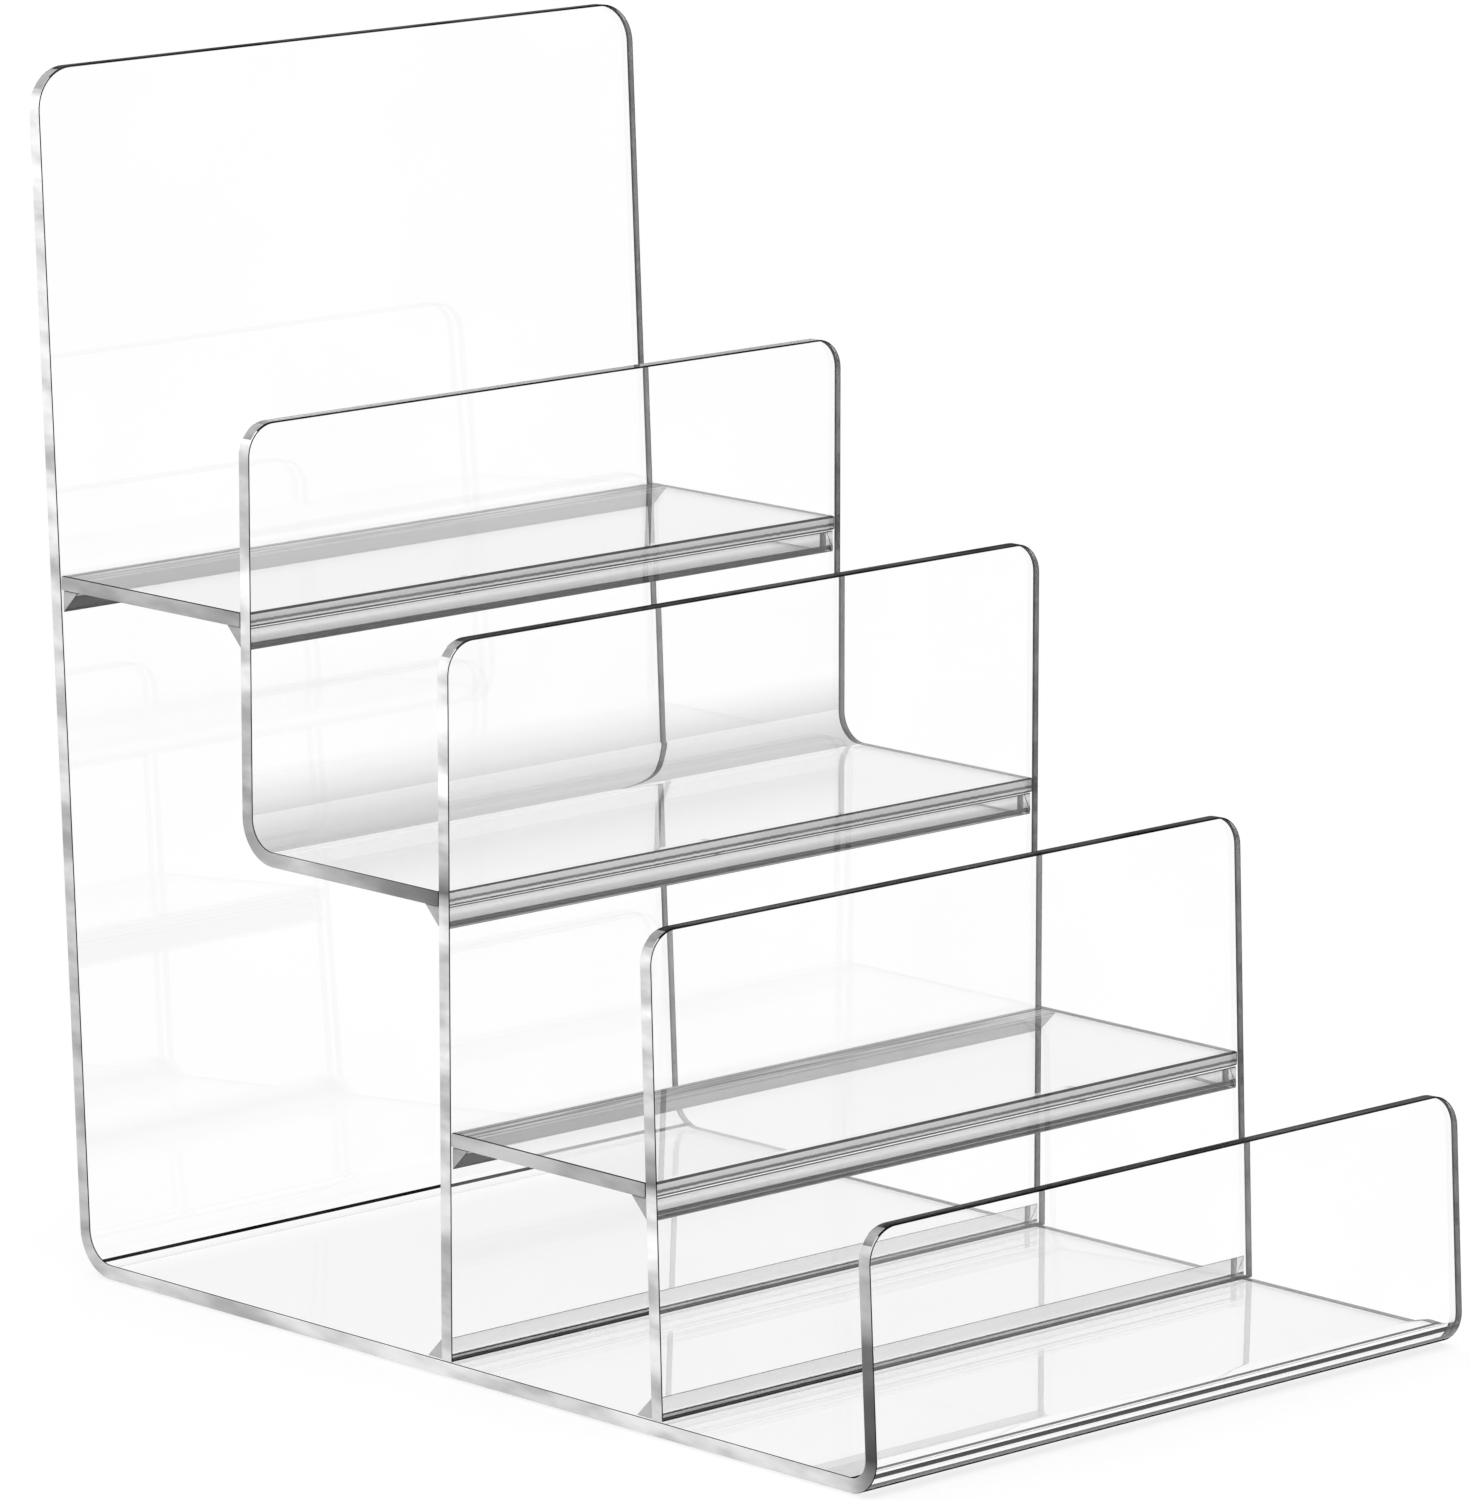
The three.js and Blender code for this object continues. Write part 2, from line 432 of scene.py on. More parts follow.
@dataclass
class Finishes:
    """The materials that the pieces share.

    Attributes:
        materials: The material of each finish.
    """

    materials: dict[Finish, Material]

    @staticmethod
    def recipes() -> list[ClearAcrylic]:
        """Lists what each finish is made of.

        Returns:
            One recipe for each finish.
        """
        even = (30.0, 30.0, 30.0)
        slanting = (30.0, 40.0, 130.0)
        fine = (25.0, 900.0, 900.0)
        curved = (60.0, 60.0, 300.0)
        # These stops paint sheens: bands of painted highlight and shade across a side, from its lower edge at
        # 0 to its upper one at 1.
        front_sheen = (
            (0.0, 0.004), (0.09, 0.06), (0.35, 0.25), (0.6, 0.5), (0.74, 0.95), (0.86, 0.7), (1.0, 0.4),
        )
        rear_sheen = ((0.0, 0.002), (0.12, 0.01), (0.3, 0.06), (0.85, 0.04), (0.92, 0.5), (1.0, 0.1))
        foot_sheen = (
            (0.0, 0.01), (0.08, 0.1), (0.24, 0.2), (0.27, 0.9), (0.34, 0.65), (0.92, 0.5), (1.0, 0.05),
        )
        edge_sheen = (
            (0.0, 0.02), (0.12, 0.05), (0.16, 0.95), (0.27, 0.95), (0.32, 0.05), (0.46, 0.1), (0.52, 0.8),
            (0.84, 0.95), (0.92, 0.1), (1.0, 0.02),
        )
        return [
            ClearAcrylic(Finish.FACE, streaks=even),
            # Sawn ends darken with painted shade from their shade layer, and take a painted dark tint for
            # light inside the sheet.
            SawnAcrylic(
                Finish.END, pale=1.0, dark=0.45, streaks=slanting, slant=0.7, rough=0.15,
                clear=0.05, gloss=0.15, lets_through=0.7, depth=0.05, curve=1.3,
            ),
            # The dark top edge is painted shade, and the pale top edge is a lit copy of it: painted light.
            ClearAcrylic(
                Finish.DARK_TOP, pale=0.08, dark=0.004, rough=0.3, clear=0.08, gloss=0.0, lets_through=0.5
            ),
            ClearAcrylic(Finish.PALE_TOP, pale=0.98, dark=0.6, rough=0.1, clear=0.9, lets_through=0.8),
            # The rounded corner's grey, between the pale sawn end and the dark top edge, is painted shade.
            SawnAcrylic(
                Finish.CORNER, pale=0.45, dark=0.12, streaks=curved, rough=0.15, clear=0.2,
                gloss=0.2, lets_through=0.6,
            ),
            # The near-black arris is painted shade: the dark outlines along edges and bends.
            ClearAcrylic(
                Finish.ARRIS, pale=0.03, dark=0.003, rough=0.4, clear=0.0, gloss=0.0, lets_through=0.5
            ),
            # The bent face darkens towards the crease with painted shade from the crease-shade layer.
            ShadedAcrylic(Finish.BEND, rough=0.0, depth=0.35, curve=1.4, layer=Layer.CREASE_SHADE),
            # The glued edges' white bands and dark lines are a painted sheen.
            BandedAcrylic(
                Finish.GLUED, pale=0.9, rough=0.1, clear=0.15, lets_through=0.9, sheen=edge_sheen, wobble=0.12
            ),
            ClearAcrylic(
                Finish.GLUED_ZONE, pale=0.9, dark=0.04, streaks=fine, rough=0.2, clear=0.05,
                gloss=0.1, lets_through=0.7,
            ),
            # The strips' bands are painted sheens, and the rear strip turns paler inside by painted light.
            BandedAcrylic(Finish.FRONT_STRIP, pale=0.6, rough=0.0, sheen=front_sheen),
            BandedAcrylic(
                Finish.REAR_STRIP, pale=0.1, clear=0.1, gloss=0.1, lets_through=0.6, sheen=rear_sheen,
                inside_share=0.7,
            ),
            BandedAcrylic(Finish.FOOT_STRIP, pale=0.6, rough=0.0, sheen=foot_sheen, wobble=0.16),
        ]

    @classmethod
    def make(cls) -> "Finishes":
        """Builds every material once."""
        return cls({recipe.finish: recipe.material() for recipe in cls.recipes()})

    def slots(self, own: Finish) -> list[Material]:
        """Gives the materials in the order of the surfaces, with a piece's own one in its place."""
        order = [own if surface is Surface.OWN else Finish[surface.name] for surface in Surface]
        return [self.materials[finish] for finish in order]


def add_layers(mesh: BMesh) -> None:
    """Gives a bmesh the layers that its finishes read."""
    for layer in Layer:
        mesh.verts.layers.float.new(layer.value)


def mark(mesh: BMesh, verts: Iterable[BMVert], shade: float, haze: float = 0.0) -> None:
    """Sets the painted shade and the painted crease shade at some vertices.

    Args:
        mesh: The bmesh.
        verts: The vertices.
        shade: The painted shade of sawn ends there.
        haze: The painted crease shade of bent faces there.
    """
    shades = mesh.verts.layers.float[Layer.SHADE.value]
    crease_shades = mesh.verts.layers.float[Layer.CREASE_SHADE.value]
    for vert in verts:
        vert[shades] = shade
        vert[crease_shades] = haze


def set_rise(mesh: BMesh, low: float, high: float) -> None:
    """Writes every vertex's rise: its place between two heights.

    Args:
        mesh: The bmesh.
        low: The height at which the rise is 0.
        high: The height at which it is 1.
    """
    rises = mesh.verts.layers.float[Layer.RISE.value]
    for vert in mesh.verts:
        vert[rises] = (vert.co.z - low) / (high - low)


def settle(mesh: BMesh, name: str, materials: Sequence[Material]) -> Object:
    """Turns a bmesh into an object at the origin, with its faces pointing out.

    Args:
        mesh: The bmesh, which is freed.
        name: The object's name.
        materials: What goes into its material slots.

    Returns:
        The new object.
    """
    smooth_limit = math.radians(20.0)
    bmesh.ops.recalc_face_normals(mesh, faces=mesh.faces)
    data = bpy.data.meshes.new(name)
    mesh.to_mesh(data)
    mesh.free()
    for material in materials:
        data.materials.append(material)
    data.shade_smooth()
    data.set_sharp_from_angle(angle=smooth_limit)
    made = bpy.data.objects.new(name, data)
    bpy.context.scene.collection.objects.link(made)
    flat = made.modifiers.new("flat_faces_stay_flat", "WEIGHTED_NORMAL")
    flat.keep_sharp = True
    return made


def break_arrises(mesh: BMesh, width: float, segments: int = 2) -> None:
    """Takes the sharpness off every arris with a narrow round, which takes the near-black arris finish: a
    painted dark outline.

    Args:
        mesh: The bmesh to work on.
        width: How far the round reaches in from the arris, in millimetres.
        segments: The facets of the round.
    """
    sharp = math.radians(40.0)
    end_share = 0.6
    arrises = [e for e in mesh.edges if len(e.link_faces) == 2 and e.calc_face_angle() > sharp]
    rounded = bmesh.ops.bevel(
        mesh,
        geom=arrises,
        offset=width * MM,
        affect="EDGES",
        segments=segments,
        profile=0.5,
        material=-1,
        clamp_overlap=True,
    )
    # Rounds take the arris finish, painted shade, or the sawn end's where they turn sideways.
    for face in rounded["faces"]:
        face.normal_update()
        sideways = abs(face.normal.x) > end_share
        face.material_index = (Surface.END if sideways else Surface.ARRIS).value


@dataclass(frozen=True)
class Bend:
    """A hot bend. Places on it are shares of its turn.

    Attributes:
        inside: The radius of its inner face.
        inner_line: Where a painted dark line of shade on its inner face begins and ends.
        outer_line: Where a painted dark line of shade on its outer face begins and ends.
        shade: The painted shade of its sawn ends where it ends.
        haze: The painted crease shade of its inner face where it ends.
        steps: Its facets.
    """

    inside: float
    inner_line: tuple[float, float] = (0.0, 0.0)
    outer_line: tuple[float, float] = (0.0, 0.0)
    shade: float = 0.0
    haze: float = 0.0
    steps: int = 64


@dataclass
class SheetBlank:
    """A sheet that grows from one cut edge, run by run and bend by bend.

    Attributes:
        width: The sheet's size across, in metres.
        thickness: Its thickness, in metres.
        place: The middle of the growing edge in the side view, as depth and height in metres.
        heading: The way that the sheet grows, in radians from the back (+Y) towards up (+Z).
        mesh: The sheet so far.
        growing: The face that the sheet grows from.
        shade: The painted shade of the sawn ends at the growing edge.
        haze: The painted crease shade of the faces there.
        corner_share: How far sideways a round corner's facet turns before it leaves the top edge's finish for
            the corner's painted shade.
        end_share: How far sideways it turns before it takes the sawn end's.
    """

    width: float
    thickness: float
    place: Vector
    heading: float
    mesh: BMesh = field(default_factory=bmesh.new)
    growing: Optional[BMFace] = None
    shade: float = 0.0
    haze: float = 0.0
    corner_share: float = 0.35
    end_share: float = 0.85

    def __post_init__(self) -> None:
        """Makes the first cut edge: a face as wide as the sheet and as tall as its thickness."""
        add_layers(self.mesh)
        turn = Matrix.Rotation(self.heading - math.pi / 2, 4, "X")
        size = Matrix.Diagonal((self.width, self.thickness, 1.0, 1.0))
        matrix = Matrix.Translation((0.0, self.place.x, self.place.y)) @ turn @ size
        bmesh.ops.create_grid(self.mesh, x_segments=1, y_segments=1, size=0.5, matrix=matrix)
        self.mesh.faces.ensure_lookup_table()
        self.growing = self.mesh.faces[0]
        mark(self.mesh, self.growing.verts, self.shade, self.haze)

    def way(self, turned: float = 0.0) -> Vector:
        """Gives the heading as a side-view vector, turned by an angle."""
        angle = self.heading + turned
        return Vector((math.cos(angle), math.sin(angle)))

    def run(self, length: float, shade: float = 0.0, haze: float = 0.0) -> None:
        """Grows a straight stretch.

        Args:
            length: The length of the stretch, in metres.
            shade: The painted shade of the sawn ends where the stretch ends.
            haze: The painted crease shade of the faces where it ends.
        """
        step = self.way() * length
        before = set(self.mesh.faces)
        geom = [self.growing, *self.growing.edges, *self.growing.verts]
        grown = bmesh.ops.extrude_face_region(self.mesh, geom=geom)["geom"]
        corners = [v for v in grown if isinstance(v, BMVert)]
        bmesh.ops.translate(self.mesh, verts=corners, vec=(0.0, step.x, step.y))
        mark(self.mesh, corners, shade, haze)
        self.growing = next(f for f in grown if isinstance(f, BMFace))
        surface = Surface.BEND if haze > 0.0 else Surface.FACE
        for face in self.mesh.faces:
            if face not in before:
                face.material_index = surface.value
        self.growing.material_index = Surface.FACE.value
        self.place = self.place + step
        self.shade = shade
        self.haze = haze

    def bend(self, bend: Bend, turn: float) -> None:
        """Grows a round bend.

        Args:
            bend: The bend's radius, lines and shade.
            turn: How far the heading turns, in radians. A positive turn goes from the back towards up.
        """
        side = math.copysign(math.pi / 2, turn)
        centre = self.place + self.way(side) * (bend.inside * MM + self.thickness / 2)
        before = set(self.mesh.faces)
        geom = [self.growing, *self.growing.edges, *self.growing.verts]
        spun = bmesh.ops.spin(
            self.mesh,
            geom=geom,
            cent=(0.0, centre.x, centre.y),
            axis=ACROSS,
            angle=turn,
            steps=bend.steps,
            use_merge=False,
            use_duplicate=False,
        )
        self.growing = next(f for f in spun["geom_last"] if isinstance(f, BMFace))
        grown = [f for f in self.mesh.faces if f not in before and f is not self.growing]
        self.mark_bend(grown, bend, centre, turn)
        self.place = centre + Matrix.Rotation(turn, 2) @ (self.place - centre)
        self.heading += turn
        self.shade = bend.shade
        self.haze = bend.haze

    def mark_bend(self, faces: Sequence[BMFace], bend: Bend, centre: Vector, turn: float) -> None:
        """Gives a bend's faces their materials, with painted dark lines, and sets the painted shade and the
        painted crease shade along it.

        Args:
            faces: The faces of the bend.
            bend: The bend's radius, lines and shade.
            centre: The middle of the bend in the side view.
            turn: How far the heading turns, in radians.
        """
        first = self.place - centre
        middle = bend.inside * MM + self.thickness / 2
        near = self.thickness / 4

        def spoke(spot: Vector) -> Vector:
            """Gives the way from the bend's middle to a point, in the side view."""
            return Vector((spot.y, spot.z)) - centre

        def share(spot: Vector) -> float:
            """Gives a point's place along the bend."""
            return abs(spoke(spot).angle(first) / turn)

        for face in faces:
            spot = face.calc_center_median()
            inner = spoke(spot).length < middle - near
            # Facets on a dark line take the near-black arris finish, a painted line of shade, and the rest of
            # a shaded inner face takes the bent face's painted crease shade.
            low, high = bend.inner_line if inner else bend.outer_line
            crease_shaded = Surface.BEND if inner and bend.haze > 0.0 else Surface.FACE
            face.material_index = (Surface.ARRIS if low < share(spot) < high else crease_shaded).value
            for vert in face.verts:
                along = share(vert.co)
                shade = self.shade + (bend.shade - self.shade) * along
                haze = self.haze + (bend.haze - self.haze) * math.sin(along * abs(turn))
                mark(self.mesh, [vert], shade, haze)

    def round_corners(self, place: Vector, radius: float, facets: int = 14) -> None:
        """Rounds both corners of a cut edge.

        Args:
            place: The middle of that cut edge in the side view.
            radius: The radius of the corners, in metres.
            facets: The facets of each corner.
        """
        corners = []
        for side in (-1, 1):
            spot = Vector((side * self.width / 2, place.x, place.y))
            corners.append(min(self.mesh.edges, key=lambda e: (self.middle(e) - spot).length))
        rounded = bmesh.ops.bevel(
            self.mesh,
            geom=corners,
            offset=radius,
            affect="EDGES",
            segments=facets,
            profile=0.5,
            material=-1,
        )
        # Facets grade from the top edge's finish through the corner's painted grey to the pale sawn end as
        # they turn sideways: painted shade.
        for face in rounded["faces"]:
            face.normal_update()
            sideways = abs(face.normal.x)
            if sideways > self.end_share:
                face.material_index = Surface.END.value
            elif sideways > self.corner_share:
                face.material_index = Surface.CORNER.value
            else:
                face.material_index = Surface.OWN.value

    @staticmethod
    def middle(edge: BMEdge) -> Vector:
        """Gives the middle of an edge."""
        return (edge.verts[0].co + edge.verts[1].co) / 2

    def mark_surfaces(self, spots: dict[Surface, Sequence[Vector]]) -> None:
        """Gives the sheet's sawn ends their material, and some cut edges and flat stretches their own.

        Args:
            spots: The middles of those edges and stretches in the side view, by their material slots.
        """
        near = self.thickness / 100
        for surface, places in spots.items():
            for place in places:
                middle = Vector((0.0, place.x, place.y))
                found = next(f for f in self.mesh.faces if (f.calc_center_median() - middle).length < near)
                found.material_index = surface.value
        for face in self.mesh.faces:
            face.normal_update()
            if abs(face.normal.x) > FACING:
                face.material_index = Surface.END.value


@dataclass
class Upright:
    """The free upper part of a sheet.

    Attributes:
        lean: How far it leans back, in degrees.
        corner: The radius of its rounded corners.
    """

    lean: float
    corner: float


@dataclass
class ClearPiece:
    """One glued piece of the riser, which takes the place of a node.

    Attributes:
        node: The node's name.
        slot: The material slot of the piece. It is not used.
    """

    node: str
    slot: str

    @property
    def low(self) -> Vector:
        """The lowest corner of the node's box."""
        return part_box(self.node)[0]

    @property
    def high(self) -> Vector:
        """The highest corner of the node's box."""
        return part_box(self.node)[1]

    @property
    def width(self) -> float:
        """The node's size across, in metres."""
        return self.high.x - self.low.x

    def seat(self, made: Object) -> Object:
        """Rides the new object on the part and hides the node that it stands for.

        Args:
            made: The new object.

        Returns:
            The same object.
        """
        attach(made, BODY)
        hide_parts(self.node)
        LOG.info("%s: %d faces", made.name, len(made.data.polygons))
        return made


@dataclass
class Sheet(ClearPiece):
    """A piece cut from sheet, with polished faces and cut edges.

    Attributes:
        thickness: The sheet's thickness.
        arris: How far its broken arrises reach in.
        own_finish: The finish of its own surface.
    """

    slot: str = "clear_acrylic_sheet"
    thickness: float = 3.0
    arris: float = 0.3
    own_finish: Finish = Finish.DARK_TOP

    def blank(self, place: Vector, heading: float, shade: float = 0.0) -> SheetBlank:
        """Starts a blank of this sheet's width and thickness."""
        return SheetBlank(self.width, self.thickness * MM, place, heading, shade=shade)

    def grow(self) -> SheetBlank:
        """Grows the blank, as each kind of sheet does in its own way."""
        raise NotImplementedError

    def build(self, finishes: Finishes) -> Object:
        """Grows the blank, breaks its arrises and turns it into the finished piece.

        Args:
            finishes: The materials.

        Returns:
            The finished object, riding on the part.
        """
        blank = self.grow()
        break_arrises(blank.mesh, self.arris)
        set_rise(blank.mesh, self.low.z, self.low.z + self.thickness * MM)
        return self.seat(settle(blank.mesh, self.node + "_clear", finishes.slots(self.own_finish)))


@dataclass
class FloorSheet(Sheet):
    """One blank: the front lip, the floor and the tall back panel.

    Attributes:
        lip_top: The height of the lip's top edge at the middle of the sheet.
        lip: How the lip stands.
        lip_bend: The bend from the lip to the floor.
        back: How the back panel stands.
        back_bend: The bend from the floor to the back panel.
        lip_shades: The shades of the lip's sawn ends after equal stretches down from its top.
        floor_shade: The shade of the floor's sawn ends where the back bend starts.
    """

    node: str = "floor_sheet"
    lip_top: float = 51.0
    lip: Upright = field(default_factory=lambda: Upright(lean=3.0, corner=7.0))
    lip_bend: Bend = Bend(4.0, inner_line=(0.8, 1.0), outer_line=(0.6, 0.8), shade=0.3)
    back: Upright = field(default_factory=lambda: Upright(lean=2.8, corner=8.5))
    back_bend: Bend = Bend(6.5, inner_line=(0.18, 0.29), shade=0.55)
    lip_shades: tuple[float, float] = (0.85, 1.0)
    floor_shade: float = 0.25

    def grow(self) -> SheetBlank:
        """Grows the sheet from the lip's top edge to the back panel's.

        Returns:
            The grown blank.
        """
        half = self.thickness * MM / 2
        lip_lean = math.radians(self.lip.lean)
        back_lean = math.radians(self.back.lean)
        lip_outer = (self.lip_bend.inside + self.thickness) * MM
        back_outer = (self.back_bend.inside + self.thickness) * MM
        lip_middle = lip_outer - half
        back_middle = back_outer - half
        lip_centre = Vector((self.low.y + lip_outer, self.low.z + lip_outer))
        lip_up = Vector((math.sin(lip_lean), math.cos(lip_lean)))
        lip_out = Vector((-math.cos(lip_lean), math.sin(lip_lean)))
        lip_foot = lip_centre + lip_out * lip_middle
        lip_run = (self.lip_top * MM - lip_foot.y) / lip_up.y
        lip_end = lip_foot + lip_up * lip_run

        back_up = Vector((math.sin(back_lean), math.cos(back_lean)))
        back_out = Vector((math.cos(back_lean), -math.sin(back_lean)))
        back_end = Vector((self.high.y - half * back_out.x, self.high.z + half * back_out.y))
        reach = back_end.dot(back_out) - back_middle
        back_centre_height = self.low.z + back_outer
        back_centre_depth = (reach - back_centre_height * back_out.y) / back_out.x
        back_centre = Vector((back_centre_depth, back_centre_height))
        back_run = (back_end - back_centre).dot(back_up)

        blank = self.blank(lip_end, -math.pi / 2 - lip_lean)
        for shade in self.lip_shades:
            blank.run(lip_run / len(self.lip_shades), shade=shade)
        blank.bend(self.lip_bend, math.pi / 2 + lip_lean)
        blank.run(back_centre.x - lip_centre.x, shade=self.floor_shade)
        blank.bend(self.back_bend, math.pi / 2 - back_lean)
        blank.run(back_run)
        blank.mark_surfaces({Surface.OWN: [lip_end, blank.place]})
        blank.round_corners(lip_end, self.lip.corner * MM)
        blank.round_corners(blank.place, self.back.corner * MM)
        return blank


@dataclass
class Riser(Sheet):
    """A flat upright that stands on the floor sheet. Its sawn ends have painted shade that darkens them down
    to the shelf that it holds.

    Attributes:
        top: How it stands.
        shelf_top: The height of that shelf's upper face.
        joint_shade: The shade of the sawn ends just above the shelf.
        joint_fade: How far above the shelf that shade starts.
        foot_shade: The shade of the sawn ends at the foot.
    """

    top: Upright = field(default_factory=lambda: Upright(lean=0.0, corner=6.5))
    shelf_top: float = 96.0
    joint_shade: float = 0.85
    joint_fade: float = 14.0
    foot_shade: float = 0.4

    def grow(self) -> SheetBlank:
        """Grows the riser from its top edge down to its foot.

        Returns:
            The grown blank.
        """
        lean = math.radians(self.top.lean)
        half = self.thickness * MM / 2
        top = Vector((self.high.y - half * math.cos(lean), self.high.z - half * math.sin(lean)))
        foot_height = self.low.z + half * math.sin(lean)
        blank = self.blank(top, -math.pi / 2 - lean)
        above = (top.y - self.shelf_top * MM) / math.cos(lean)
        below = (top.y - foot_height) / math.cos(lean) - above - self.thickness * MM
        blank.run(above - self.joint_fade * MM)
        blank.run(self.joint_fade * MM, shade=self.joint_shade)
        blank.run(self.thickness * MM)
        blank.run(below, shade=self.foot_shade)
        blank.mark_surfaces({Surface.OWN: [top]})
        blank.round_corners(top, self.top.corner * MM)
        return blank


@dataclass
class UpperSheet(Sheet):
    """One blank: the upper riser, bent forward into the middle shelf.

    Attributes:
        top: How the riser stands.
        bend: The bend from the riser to the shelf.
        bend_shade: The shade of the riser's sawn ends where the bend starts.
        shelf_under: The height of the top shelf's underside, below which that shade sets in.
        crease_shade_run: How far above the bend the painted crease shade starts.
        crease_shade_start: The painted crease shade where the bend starts.
        front_shade: The shade of the sawn ends at the shelf's front edge.
    """

    node: str = "upper_riser_and_middle_shelf"
    top: Upright = field(default_factory=lambda: Upright(lean=0.0, corner=6.5))
    bend: Bend = Bend(6.0, shade=0.25, haze=1.0)
    bend_shade: float = 0.5
    shelf_under: float = 139.5
    crease_shade_run: float = 9.0
    crease_shade_start: float = 0.6
    front_shade: float = 0.9
    own_finish: Finish = Finish.PALE_TOP

    def grow(self) -> SheetBlank:
        """Grows the sheet from the riser's top edge to the shelf's front edge.

        Returns:
            The grown blank.
        """
        outer = (self.bend.inside + self.thickness) * MM
        top = Vector((self.high.y - self.thickness * MM / 2, self.high.z))
        blank = self.blank(top, -math.pi / 2)
        crease_shade_top = self.low.z + outer + self.crease_shade_run * MM
        blank.run(self.high.z - self.shelf_under * MM)
        blank.run(self.shelf_under * MM - crease_shade_top, shade=self.bend_shade)
        blank.run(self.crease_shade_run * MM, shade=self.bend_shade, haze=self.crease_shade_start)
        blank.bend(self.bend, -math.pi / 2)
        blank.run(self.high.y - self.low.y - outer, shade=self.front_shade)
        blank.mark_surfaces({Surface.OWN: [top], Surface.GLUED: [blank.place]})
        blank.round_corners(top, self.top.corner * MM)
        return blank


@dataclass
class Shelf(Sheet):
    """A flat plate glued between two uprights.

    Attributes:
        rear_shade: The shade of its sawn ends at the rear.
        front_shade: The shade of its sawn ends at the front.
        glued_zone: The depth of the stretch of its underside that is glued to the rear strip.
    """

    arris: float = 0.45
    rear_shade: float = 0.55
    front_shade: float = 0.65
    glued_zone: float = 4.4
    own_finish: Finish = Finish.GLUED_ZONE

    def grow(self) -> SheetBlank:
        """Grows the plate from its rear edge to its front edge.

        Returns:
            The grown blank.
        """
        rear = Vector((self.high.y, (self.low.z + self.high.z) / 2))
        blank = self.blank(rear, math.pi, self.rear_shade)
        zone = self.glued_zone * MM
        blank.run(zone, shade=self.rear_shade)
        blank.run(self.high.y - self.low.y - zone, shade=self.front_shade)
        under = Vector((self.high.y - zone / 2, self.low.z))
        blank.mark_surfaces({Surface.OWN: [under], Surface.GLUED: [rear, blank.place]})
        return blank


class Corner(Enum):
    """Which corner a strip fills: the signs of its depth and height, seen from the corner's two faces.

    The strips have the finishes of the same names.
    """

    FOOT_STRIP = (1, 1)
    FRONT_STRIP = (1, -1)
    REAR_STRIP = (-1, -1)


@dataclass
class CornerStrip(ClearPiece):
    """A strip of triangular section, glued into the corner of two sheets.

    Attributes:
        corner: The corner that it fills.
        arris: How far its broken arrises reach in.
        end_shade: The shade of its left-hand sawn end.
        clear_share: How far to the right a facet turns before it is part of the clear right-hand end.
    """

    slot: str = "clear_acrylic_strip"
    corner: Corner = Corner.FRONT_STRIP
    arris: float = 0.18
    end_shade: float = 0.6
    clear_share: float = 0.3

    def shows(self, normal: Vector) -> bool:
        """Tells whether a side shows the painted sheen: a rear strip's slanting side, or another's upright
        one.

        Args:
            normal: The side's normal.

        Returns:
            Whether it does.
        """
        if self.corner is Corner.REAR_STRIP:
            return abs(normal.y) > LEANING and abs(normal.z) > LEANING
        return abs(normal.y) > FACING

    def build(self, finishes: Finishes) -> Object:
        """Extrudes the strip's triangle across the riser.

        Args:
            finishes: The materials.

        Returns:
            The finished object.
        """
        back, up = self.corner.value
        depth, tip = (self.low.y, self.high.y) if back > 0 else (self.high.y, self.low.y)
        level, crest = (self.low.z, self.high.z) if up > 0 else (self.high.z, self.low.z)
        mesh = bmesh.new()
        add_layers(mesh)
        outline = [(depth, level), (tip, level), (depth, crest)]
        corners = [mesh.verts.new((self.low.x, y, z)) for y, z in outline]
        section = mesh.faces.new(corners)
        grown = bmesh.ops.extrude_face_region(mesh, geom=[section])["geom"]
        far = [v for v in grown if isinstance(v, BMVert)]
        bmesh.ops.translate(mesh, verts=far, vec=ACROSS * self.width)
        bmesh.ops.recalc_face_normals(mesh, faces=mesh.faces)
        mark(mesh, mesh.verts, self.end_shade)
        for face in mesh.faces:
            if abs(face.normal.x) > FACING:
                face.material_index = Surface.END.value
            elif self.shows(face.normal):
                face.material_index = Surface.OWN.value
        break_arrises(mesh, self.arris)
        for face in mesh.faces:
            if face.normal.x > self.clear_share:
                face.material_index = Surface.FACE.value
        set_rise(mesh, self.low.z, self.high.z)
        return self.seat(settle(mesh, self.node + "_clear", finishes.slots(Finish[self.corner.name])))


@dataclass(frozen=True)
class Lamp:
    """A square soft lamp that faces the riser and is not seen in it.

    Attributes:
        name: The lamp's name.
        place: Where it hangs.
        size: Its side.
        power: Its power, in watts.
    """

    name: str
    place: tuple[float, float, float]
    size: float
    power: float

    def hang(self) -> Object:
        """Hangs the lamp.

        Returns:
            The lamp's object.
        """
        light = bpy.data.lights.new(self.name, "AREA")
        light.size = self.size * MM
        light.energy = self.power
        made = bpy.data.objects.new(self.name, light)
        made.visible_glossy = False
        made.visible_transmission = False
        made.location = Vector(self.place) * MM
        made.rotation_euler = (-Vector(self.place)).to_track_quat("-Z", "Y").to_euler()
        bpy.context.scene.collection.objects.link(made)
        return made


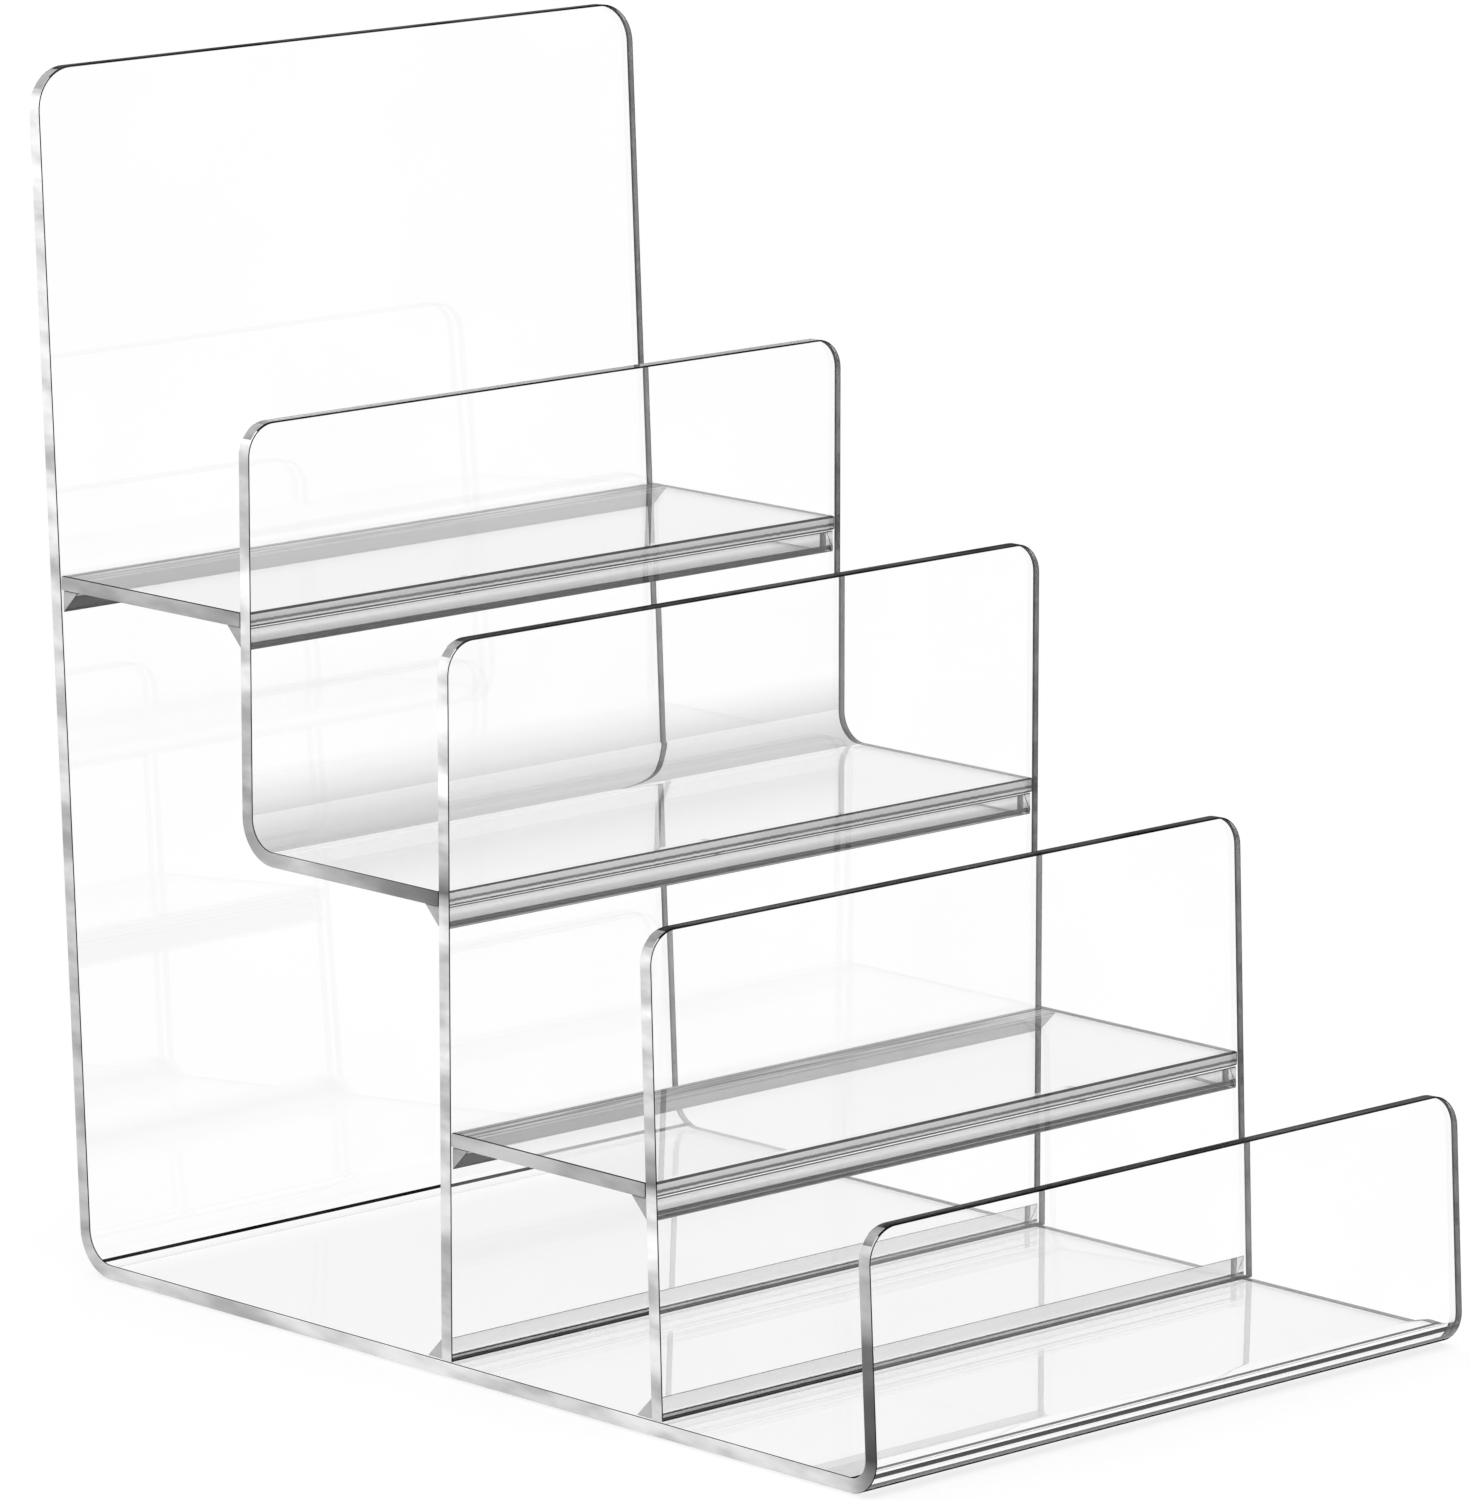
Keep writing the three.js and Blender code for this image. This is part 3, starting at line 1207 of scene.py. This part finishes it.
@dataclass
class Studio:
    """The pale floor, the lamps, the surroundings and the camera.

    Attributes:
        azimuth: The camera's turn round the riser, in degrees. At 0 it looks from the front to the back.
        elevation: The camera's height above the horizon, in degrees.
        distance: The camera's distance from its target.
        target: The point that it looks at.
        focal_pixels: Its focal length in pixels of the photograph.
        image_height: The photograph's longer side, in pixels.
        sensor: The size of its sensor.
        floor_drop: How far the floor lies below the riser.
        floor_reach: The floor's radius.
        floor_sides: The sides of its outline.
        floor_grey: The level of its colour.
        floor_white: The share of plain white in the floor as the camera sees it by the riser.
        white_from: How far away that share starts to grow.
        white_at: How far away it is full.
        room: Stops of the room's level over the sine of the height above the horizon.
        bounces: How often light may bounce or cross a surface.
        lamps: The lamps.
    """

    azimuth: float = -43.257
    elevation: float = 11.485
    distance: float = 1901.2
    target: tuple[float, float, float] = (-0.432, 1.61, 112.449)
    focal_pixels: float = 9635.1
    image_height: float = 1500.0
    sensor: float = 36.0
    floor_drop: float = 0.3
    floor_reach: float = 9000.0
    floor_sides: int = 96
    floor_grey: float = 0.93
    floor_white: float = 0.75
    white_from: float = 180.0
    white_at: float = 500.0
    room: Stops = (
        (0.0, 1.0), (0.1, 1.0), (0.18, 0.82), (0.3, 0.82), (0.75, 0.8), (0.92, 0.95), (1.0, 1.0),
    )
    bounces: int = 64
    lamps: tuple[Lamp, ...] = (
        Lamp("overhead_lamp", (0.0, 0.0, 2200.0), size=1600.0, power=15.0),
        Lamp("left_lamp", (-2000.0, -1200.0, 1600.0), size=1200.0, power=15.0),
    )

    def camera(self) -> Object:
        """Places the camera at the photograph's viewing angle.

        Returns:
            The camera.
        """
        lens = bpy.data.cameras.new("camera")
        lens.sensor_width = self.sensor
        lens.lens = self.focal_pixels / self.image_height * self.sensor
        turn = math.radians(self.azimuth)
        rise = math.radians(self.elevation)
        back = Vector((
            math.sin(turn) * math.cos(rise),
            -math.cos(turn) * math.cos(rise),
            math.sin(rise),
        ))
        made = bpy.data.objects.new("camera", lens)
        made.location = (Vector(self.target) + back * self.distance) * MM
        made.rotation_euler = (-back).to_track_quat("-Z", "Y").to_euler()
        bpy.context.scene.collection.objects.link(made)
        bpy.context.scene.camera = made
        return made

    def seen_rays(self, graph: ShaderGraph) -> tuple[Port, Port]:
        """Finds the rays that show the background.

        Args:
            graph: The graph of the background's material.

        Returns:
            A port that is 1 on rays from the camera, and one that is 1 on rays by a mirror or through glass.
        """
        path = graph.node("LightPath")
        camera, glossy, through = (
            Port(graph, path.outputs[name])
            for name in ("Is Camera Ray", "Is Glossy Ray", "Is Transmission Ray")
        )
        return camera, glossy.at_least(through)

    def floor(self) -> Object:
        """Lays the pale floor, which keeps the riser's shadow and turns white further out.

        Returns:
            The floor.
        """
        mesh = bmesh.new()
        bmesh.ops.create_circle(
            mesh,
            cap_ends=True,
            segments=self.floor_sides,
            radius=self.floor_reach * MM,
            matrix=Matrix.Translation((0.0, 0.0, -self.floor_drop * MM)),
        )
        material = bpy.data.materials.new("pale_floor")
        graph = ShaderGraph(material)
        spot = graph.port("TexCoord", output="Object")
        away = graph.port("VectorMath", {"operation": "LENGTH"}, {0: spot}, output="Value")
        outward = graph.span(away, self.white_from * MM, self.white_at * MM)
        seen_white = self.floor_white + (1.0 - self.floor_white) * outward
        lit = graph.port("BsdfDiffuse", None, {"Color": grey(self.floor_grey)})
        white = graph.port("Emission", None, {"Color": grey(1.0), "Strength": 1.0})
        straight, by_glass = self.seen_rays(graph)
        share = by_glass.at_least(seen_white * straight)
        graph.finish(graph.port("MixShader", None, {0: share, 1: lit, 2: white}))
        made = settle(mesh, "studio_floor", [material])
        return made

    def surroundings(self) -> None:
        """Makes the room: white near the horizon and overhead, and a little dimmer between."""
        world = bpy.data.worlds.new("studio")
        bpy.context.scene.world = world
        graph = ShaderGraph(world)
        way = graph.port("TexCoord", output="Generated")
        height = graph.port("SeparateXYZ", None, {0: way}, output="Z")
        level = graph.port("ValToRGB", {"stops": self.room}, {0: height.at_least(0.0)})
        graph.finish(graph.port("Background", None, {"Color": level, "Strength": 1.0}), world=True)

    def build(self) -> None:
        """Sets up the whole studio."""
        scene = bpy.context.scene
        scene.view_settings.view_transform = "Standard"
        scene.cycles.max_bounces = self.bounces
        scene.cycles.glossy_bounces = self.bounces
        scene.cycles.transmission_bounces = self.bounces
        scene.cycles.transparent_max_bounces = self.bounces
        self.surroundings()
        self.floor()
        for lamp in self.lamps:
            lamp.hang()
        self.camera()


def build_pieces(finishes: Finishes) -> None:
    """Builds every sheet and strip of the riser.

    Args:
        finishes: The materials.
    """
    FloorSheet().build(finishes)
    Riser("lower_riser", top=Upright(lean=2.0, corner=6.5), shelf_top=49.0).build(finishes)
    Riser("middle_riser").build(finishes)
    UpperSheet().build(finishes)
    Shelf("lower_shelf").build(finishes)
    Shelf("top_shelf").build(finishes)
    strips = {
        "strip_lower_riser_foot": Corner.FOOT_STRIP,
        "strip_middle_riser_foot": Corner.FOOT_STRIP,
        "strip_lower_shelf_front": Corner.FRONT_STRIP,
        "strip_lower_shelf_rear": Corner.REAR_STRIP,
        "strip_middle_shelf_front": Corner.FRONT_STRIP,
        "strip_top_shelf_front": Corner.FRONT_STRIP,
        "strip_top_shelf_rear": Corner.REAR_STRIP,
    }
    for node, corner in strips.items():
        CornerStrip(node, corner=corner).build(finishes)


def main() -> None:
    """Builds the studio and the riser, in order."""
    logging.basicConfig(level=logging.INFO, format="%(name)s %(message)s")
    Studio().build()
    build_pieces(Finishes.make())


if __name__ == "__main__":
    main()
